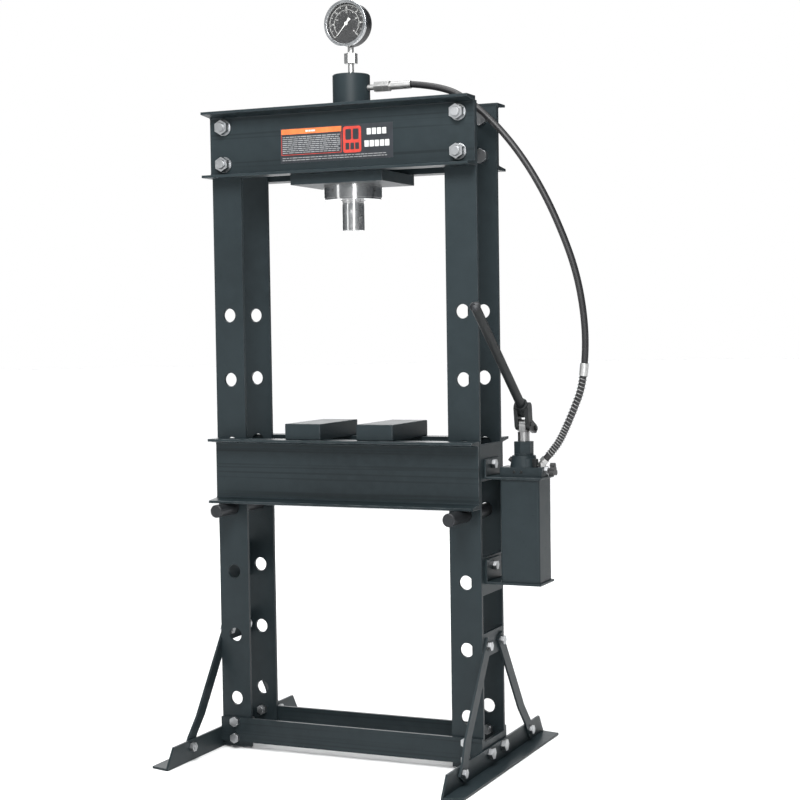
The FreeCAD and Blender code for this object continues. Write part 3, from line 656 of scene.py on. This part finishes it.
threads = thread_tree()
for node, (radius, pitch, length, outward) in THREADS.items():
    rows = bolt_ends(node, outward, length * MM, THREAD_GAP)
    threads.grow(node + "_threads", points_mesh(node, rows), "frame", Radius=(radius + THREAD_PROUD) * MM,
                 Pitch=pitch * MM, Length=length * MM, Depth=pitch * DEPTH_BY_PITCH * MM)


# ---------------------------------------------------------------- welds

BATTEN_INSET = 3 * MM
PLATE_INSET = 6 * MM
PLATE_SEAM = 18 * MM
SPACER_INSET = 4 * MM


def seam_lines():
    """Seams on the frame and on the bed that are joined by weld beads."""
    frame_seams, bed_seams = [], []
    for side, name in ((-1, "left"), (1, "right")):
        for low, high in islands(name + "_battens"):
            x = low.x if side > 0 else high.x
            for y in (low.y, high.y):
                frame_seams.append([(x, y, low.z + BATTEN_INSET), (x, y, high.z - BATTEN_INSET)])
    plate_low, plate_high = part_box("head_plate")
    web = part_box("top_beam_front")[1].y
    for y in (web, -web):
        frame_seams.append([(plate_low.x + PLATE_INSET, y, plate_low.z + PLATE_SEAM),
                            (plate_high.x - PLATE_INSET, y, plate_low.z + PLATE_SEAM)])
    for low, high in islands("bed_spacers"):
        for x in (low.x, high.x):
            for y in (low.y, high.y):
                bed_seams.append([(x, y, low.z + SPACER_INSET), (x, y, high.z - SPACER_INSET)])
    return frame_seams, bed_seams


beads = bead_tree()
frame_seams, bed_seams = seam_lines()
beads.grow("frame_welds", lines_mesh("frame_welds", frame_seams), "frame")
beads.grow("bed_welds", lines_mesh("bed_welds", bed_seams), "bed")


# ---------------------------------------------------------------- gauge dial

SWEEP = math.radians(270)
PRINT_DEPTH = 0.15 * MM
TEXT_OFF = Vector((0.0, -0.1 * MM, 0.0))
# Name, count, radius, length and width of each row of strokes, in millimetres.
MARK_ROWS = [
    ("outer_strokes", 13, 40.0, 4.6, 0.9), ("outer_fine_strokes", 61, 41.2, 2.2, 0.35),
    ("inner_strokes", 9, 29.5, 3.6, 0.8), ("inner_fine_strokes", 41, 30.4, 1.8, 0.35),
]
marks = mark_tree()
dial_seed = points_mesh("dial_seed", [(ZERO, ZERO)])
for name, count, radius, length, width in MARK_ROWS:
    marks.grow("dial_" + name, dial_seed.copy(), "frame", Count=count, Radius=radius * MM,
               Length=length * MM, Width=width * MM, Sweep=SWEEP, Start=-SWEEP / 2)


def dial_ray(i, steps):
    """The direction from the dial's middle to step i of its scale."""
    angle = -SWEEP / 2 + SWEEP * i / steps
    return Vector((math.sin(angle), 0.0, math.cos(angle)))


def dial_line(name, radius, width, steps=96):
    """A thin printed arc."""
    shape = bmesh.new()
    rings = []
    section = [(-width / 2, 0.0), (width / 2, 0.0), (width / 2, -PRINT_DEPTH), (-width / 2, -PRINT_DEPTH)]
    for i in range(steps + 1):
        ray = dial_ray(i, steps)
        rings.append([shape.verts.new(GAUGE + ray * (radius + across) * MM + Vector((0.0, depth, 0.0)))
                      for across, depth in section])
    for first, second in zip(rings, rings[1:]):
        for k in range(4):
            shape.faces.new((first[k], first[(k + 1) % 4], second[(k + 1) % 4], second[k]))
    shape.faces.new(rings[0][::-1])
    shape.faces.new(rings[-1])
    return add_shape(shape, name, "dial_print", "frame")


dial_line("dial_outer_line", 42.4, 0.45)
dial_line("dial_inner_line", 31.4, 0.45)


def numerals(name, values, radius, height):
    """Upright numbers round the scale, as one flat printed mesh."""
    shape = bmesh.new()
    for i, value in enumerate(values):
        text = bpy.data.curves.new(name, "FONT")
        text.body = str(value)
        text.size = height * MM
        text.extrude = 0.08 * MM
        text.align_x = "CENTER"
        text.align_y = "CENTER"
        text.resolution_u = 3
        helper = add_object(name + "_text", text)
        mesh = plain_mesh(helper)
        bpy.data.objects.remove(helper)
        centre = GAUGE + dial_ray(i, len(values) - 1) * radius * MM + TEXT_OFF
        mesh.transform(Matrix.Translation(centre) @ Matrix.Rotation(math.radians(90), 4, "X"))
        shape.from_mesh(mesh)
        bpy.data.meshes.remove(mesh)
    bmesh.ops.remove_doubles(shape, verts=shape.verts, dist=WELD_GAP)
    return add_shape(shape, name, "dial_print", "frame")


numerals("dial_outer_numbers", range(0, 70, 10), 35.0, 5.0)
numerals("dial_inner_numbers", range(0, 50, 10), 24.8, 4.0)


# The pointer's half widths at distances from its hub, tip first, in millimetres.
BLADE = [(34.0, 0.25), (4.0, 1.1), (-3.0, 1.3), (-9.0, 2.2), (-14.0, 4.0)]
NEEDLE_LEAN = math.radians(230)
NEEDLE_THICK = 0.9 * MM
HUB_BACK, HUB_FRONT, HUB_DEPTH, HUB_PLACE = 4.2 * MM, 3.6 * MM, 2.6 * MM, 1.4 * MM


def needle():
    """The gauge pointer: a long thin blade, a round hub and a flared tail."""
    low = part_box("gauge_pointer")[0]
    tip = Vector((math.cos(NEEDLE_LEAN), 0.0, math.sin(NEEDLE_LEAN)))
    side = Vector((-tip.z, 0.0, tip.x))
    centre = Vector((GAUGE.x, low.y, GAUGE.z))
    shape = bmesh.new()
    outline = [centre + tip * a * MM + side * b * MM for a, b in BLADE]
    outline += [centre + tip * a * MM - side * b * MM for a, b in reversed(BLADE)]
    thick = Vector((0.0, NEEDLE_THICK, 0.0))
    front = [shape.verts.new(p + thick) for p in outline]
    rear = [shape.verts.new(p + thick * 2) for p in outline]
    shape.faces.new(front)
    shape.faces.new(rear[::-1])
    for i in range(len(outline)):
        shape.faces.new((front[i], rear[i], rear[(i + 1) % len(outline)], front[(i + 1) % len(outline)]))
    place = Matrix.Translation(centre + Vector((0.0, HUB_PLACE, 0.0)))
    bmesh.ops.create_cone(shape, cap_ends=True, segments=32, radius1=HUB_BACK, radius2=HUB_FRONT,
                          depth=HUB_DEPTH, matrix=place @ Matrix.Rotation(math.radians(90), 4, "X"))
    return add_shape(shape, "needle", "pointer_white", "gauge_needle", ["gauge_pointer"])


needle()


# ---------------------------------------------------------------- ridged caps

def ridge_tree():
    """Grip ridges: bars stood round a circle, in the plane that each seed point's turn gives."""
    tree = Tree("ridges", "black_enamel", Count=18, Radius=0.006, Length=0.012, Width=0.0009)
    ring = tree.node("GeometryNodeMeshCircle", None,
                     {"Vertices": tree.given("Count"), "Radius": tree.given("Radius")})
    size = tree.node("ShaderNodeCombineXYZ", None, {
        "X": tree.given("Width"), "Y": tree.given("Width"), "Z": tree.given("Length")})
    bar = tree.node("GeometryNodeMeshCube", None, {"Size": size})
    around = tree.spread(ring, bar)
    tree.close(tree.spread(tree.given("Geometry"), around, Rotation=tree.turn()), False)
    return tree


relief_low, relief_high = max(islands("head_plugs"), key=lambda pair: pair[1].z)
relief = (relief_low + relief_high) / 2
relief.z = relief_high.z - 6.5 * MM
relief_seed = points_mesh("relief_cap_ridges", [(tuple(relief), ZERO)])
ridge_tree().grow("relief_cap_ridges", relief_seed, "frame", Count=16, Radius=6.1 * MM, Length=11.0 * MM,
                  Width=0.9 * MM)


# ---------------------------------------------------------------- labels

def slab(shape, low, high, corner=0.0, steps=5):
    """A thin printed patch with rounded corners, facing the front."""
    corner = min(corner, (high.x - low.x) / 2, (high.z - low.z) / 2)
    outline = []
    for cx, cz, start in ((high.x - corner, high.z - corner, 0), (low.x + corner, high.z - corner, 90),
                          (low.x + corner, low.z + corner, 180), (high.x - corner, low.z + corner, 270)):
        for i in range(steps + 1):
            if corner == 0.0 and i:
                continue
            angle = math.radians(start + 90 * i / steps)
            outline.append((cx + corner * math.cos(angle), cz + corner * math.sin(angle)))
    front = [shape.verts.new((x, low.y, z)) for x, z in outline]
    rear = [shape.verts.new((x, high.y, z)) for x, z in outline]
    shape.faces.new(front)
    shape.faces.new(rear[::-1])
    count = len(outline)
    for i in range(count):
        shape.faces.new((front[i], rear[i], rear[(i + 1) % count], front[(i + 1) % count]))


def patches(name, rows, finish, body="frame", replaced=()):
    shape = bmesh.new()
    for low, high, corner in rows:
        slab(shape, Vector(low), Vector(high), corner)
    return add_shape(shape, name, finish, body, replaced)


strip, panel, badge = sorted(islands("label_panels"), key=lambda area: (area[0].x, -area[0].z))
PROUD = 0.1 * MM
FILM = 0.3 * MM
web = badge[1].y
title_low = Vector((badge[1].x + 8 * MM, web - FILM - PROUD, 0.0))
title_end = title_low.x + 64 * MM
ground_low = Vector((panel[0].x - 3 * MM, web - FILM, badge[0].z - 16 * MM))
ground_high = Vector((title_end + 6 * MM, web, badge[1].z + 4 * MM))
patches("label_ground", [(ground_low, ground_high, 0.0)], "label_film", replaced=["label_panels"])
patches("notice_strip", [(strip[0], strip[1], 1.0 * MM)], "label_orange")
patches("notice_panel", [(panel[0], panel[1], 1.0 * MM)], "label_film")
patches("rating_badge", [(badge[0], badge[1], 6.0 * MM)], "label_red")


def bars(low, rows):
    """Printed bars: each row is (left, bottom, right, top, corner) in millimetres from the low corner."""
    return [((low.x + x0 * MM, low.y - PROUD, low.z + z0 * MM),
             (low.x + x1 * MM, low.y, low.z + z1 * MM), corner * MM) for x0, z0, x1, z1, corner in rows]


def text_lines(area, rows, fill, seed, inset):
    """Blank lines of print: short bars of uneven length in even rows."""
    draw = random.Random(seed)
    low, high = area
    pitch = (high.z - low.z - 2 * inset) / rows
    half = pitch * fill / 2
    made = []
    for row in range(rows):
        z = high.z - inset - pitch * (row + 0.5)
        x = low.x + inset
        while x < high.x - inset - 4 * MM:
            length = min(draw.uniform(5.0, 14.0) * MM, high.x - inset - x)
            made.append(((x, low.y - PROUD, z - half), (x + length, low.y, z + half), 0.0))
            x += length + draw.uniform(1.2, 2.0) * MM
    return made


panel_wide, panel_tall = (panel[1] - panel[0]).x / MM, (panel[1] - panel[0]).z / MM
patches("notice_lines", text_lines(panel, rows=9, fill=0.45, seed=3, inset=3.0 * MM), "label_grey")
patches("notice_border", bars(panel[0], [
    (0.0, 0.0, 1.2, panel_tall, 0.0), (1.4, 0.0, panel_wide - 1.4, 1.2, 0.0),
    (panel_wide - 1.2, 0.0, panel_wide, panel_tall, 0.0)]), "label_red")
patches("strip_bar", bars(strip[0], [
    (62.0, 4.0, 68.0, 8.0, 0.0), (69.5, 4.0, 75.0, 8.0, 0.0), (76.5, 4.0, 86.0, 8.0, 0.0)]), "label_white")
patches("badge_blocks", bars(badge[0], [
    (6.0, 29.0, 20.5, 53.0, 3.0), (24.5, 29.0, 39.0, 53.0, 3.0), (6.0, 7.0, 15.5, 22.0, 1.5),
    (18.0, 7.0, 27.5, 22.0, 1.5), (30.0, 7.0, 39.5, 22.0, 1.5)]), "label_film")
TITLE_STEP = 12.6
title = Vector((title_low.x, web - FILM, badge[0].z))
upper_row = [(6.0 + TITLE_STEP * i, 38.0, 16.0 + TITLE_STEP * i, 52.0, 1.0) for i in range(4)]
lower_row = [(TITLE_STEP * i, 11.0, 10.4 + TITLE_STEP * i, 25.0, 1.0) for i in range(5)]
patches("title_blocks", bars(title, upper_row + lower_row), "label_white")
foot = (Vector((panel[0].x, web - FILM, badge[0].z - 14 * MM)), Vector((title_end - 6 * MM, web, badge[0].z)))
patches("foot_lines", text_lines(foot, rows=2, fill=0.36, seed=9, inset=2 * MM), "label_grey")


# ---------------------------------------------------------------- hose

# The hose lies in the plane of the press. Its route gives x from the gap between the posts, and z.
SHIFT = -0.0515
HOSE_DIAMETER = 0.015
HOSE_ROUTE = [
    (0.150, 1.530), (0.225, 1.521), (0.294, 1.482), (0.359, 1.421), (0.414, 1.352),
    (0.4615, 1.274), (0.501, 1.189), (0.5315, 1.106), (0.5485, 1.022), (0.554, 0.938),
    (0.545, 0.850), (0.527, 0.804), (0.506, 0.757), (0.484, 0.716), (0.459, 0.690),
]
END_CLEAR = 0.010


def hose_curve(name, bevel):
    data = bpy.data.curves.new(name, "CURVE")
    data.dimensions = "3D"
    data.resolution_u = 12
    data.bevel_depth = bevel
    data.bevel_resolution = 6
    data.use_fill_caps = True
    spline = data.splines.new("NURBS")
    spline.points.add(len(HOSE_ROUTE) - 1)
    for point, (x, z) in zip(spline.points, HOSE_ROUTE):
        point.co = (x + SHIFT, 0.0, z, 1.0)
    spline.order_u = 3
    spline.use_endpoint_u = True
    return data


def hose_line():
    """Points along the hose's own line, read from its spline."""
    helper = add_object("hose_line", hose_curve("hose_line", 0.0))
    mesh = plain_mesh(helper)
    points = [v.co.copy() for v in mesh.vertices]
    bpy.data.objects.remove(helper)
    return points


hose_data = hose_curve("hose", HOSE_DIAMETER / 2)
hose_data.materials.append(FINISH["hose_rubber"])
hose = add_object("rubber_hose", hose_data)
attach(hose, "frame")
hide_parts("hose")

line = hose_line()
collar_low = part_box("guard_collar")[0].z
guard_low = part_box("hose_guard")[0]
guarded = [p for p in line if p.z < collar_low + 1 * MM and p.x > guard_low.x - 1 * MM]
while (guarded[-1] - line[-1]).length < END_CLEAR:
    guarded.pop()
coil = coil_tree().grow("spring_guard", lines_mesh("guard_line", [guarded]), "frame")
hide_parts("hose_guard")


# ---------------------------------------------------------------- floor and light

FLOOR_RADIUS = 40.0
FLOOR_GAP = 0.0005
SKY_POWER = 3.3
SKY_SPREAD = math.radians(40)
FRONT_LIGHT = 0.26
BACK_LIGHT = 0.10


def add_floor():
    shape = bmesh.new()
    bmesh.ops.create_circle(shape, cap_ends=True, radius=FLOOR_RADIUS, segments=64)
    mesh = bpy.data.meshes.new("floor")
    shape.to_mesh(mesh)
    shape.free()
    f = Finish("floor")
    cloud = f.noise(1.5, 2.0)
    mesh.materials.append(f.surface(Base_Color=f.mix(cloud, grey(0.90), grey(0.93)), Roughness=0.8))
    floor = add_object("floor", mesh)
    floor.location.z = CAD_BOX[0].z - FLOOR_GAP


def add_light(name, place, target, size, power):
    data = bpy.data.lights.new(name, "AREA")
    data.shape = "RECTANGLE"
    data.size, data.size_y = size
    data.energy = power
    lamp = add_object(name, data)
    lamp.location = place
    lamp.rotation_euler = (Vector(target) - Vector(place)).to_track_quat("-Z", "Y").to_euler()


def add_sky_lamp():
    """Even soft light straight down, so the floor stays the same tone near and far."""
    lamp = bpy.data.lights.new("sky", "SUN")
    lamp.energy = SKY_POWER
    lamp.angle = SKY_SPREAD
    add_object("sky", lamp)


def add_world():
    """White backdrop to the eye; the light itself comes mostly from the front of the studio."""
    world = bpy.data.worlds.new("studio")
    bpy.context.scene.world = world
    world.use_nodes = True
    nodes, links = world.node_tree.nodes, world.node_tree.links
    nodes.clear()

    def background(colour, strength):
        node = nodes.new("ShaderNodeBackground")
        node.inputs["Color"].default_value = (*colour, 1.0)
        node.inputs["Strength"].default_value = strength
        return node.outputs[0]

    def blend(factor, first, second):
        node = nodes.new("ShaderNodeMixShader")
        for socket, source in zip(node.inputs, (factor, first, second)):
            links.new(source, socket)
        return node.outputs[0]

    direction = nodes.new("ShaderNodeSeparateXYZ")
    links.new(nodes.new("ShaderNodeTexCoord").outputs["Generated"], direction.inputs[0])
    front = nodes.new("ShaderNodeMapRange")
    front.interpolation_type = "SMOOTHSTEP"
    front.inputs["From Min"].default_value = 0.35
    front.inputs["From Max"].default_value = -0.85
    links.new(direction.outputs["Y"], front.inputs["Value"])
    room = blend(front.outputs[0], background((0.85, 0.92, 1.0), BACK_LIGHT),
                 background((0.90, 0.96, 1.0), FRONT_LIGHT))
    seen = nodes.new("ShaderNodeLightPath").outputs["Is Camera Ray"]
    exit_node = nodes.new("ShaderNodeOutputWorld")
    links.new(blend(seen, room, background((1.0, 1.0, 1.0), 1.0)), exit_node.inputs[0])


add_floor()
add_light("key", (0.5, -1.8, 2.4), (-0.05, 0.0, 1.3), (1.0, 1.0), 64.0)
add_light("strip_right", (2.3, -3.86, 1.5), (0.0, 0.0, 1.3), (0.5, 2.4), 34.0)
add_light("strip_left", (-2.6, -3.6, 1.5), (0.0, 0.0, 1.3), (0.5, 2.4), 9.0)
add_light("tops", (-2.0, 3.6, 2.2), (0.0, 0.0, 0.8), (2.5, 2.5), 60.0)
add_sky_lamp()
add_world()
bpy.context.scene.view_settings.view_transform = "Standard"
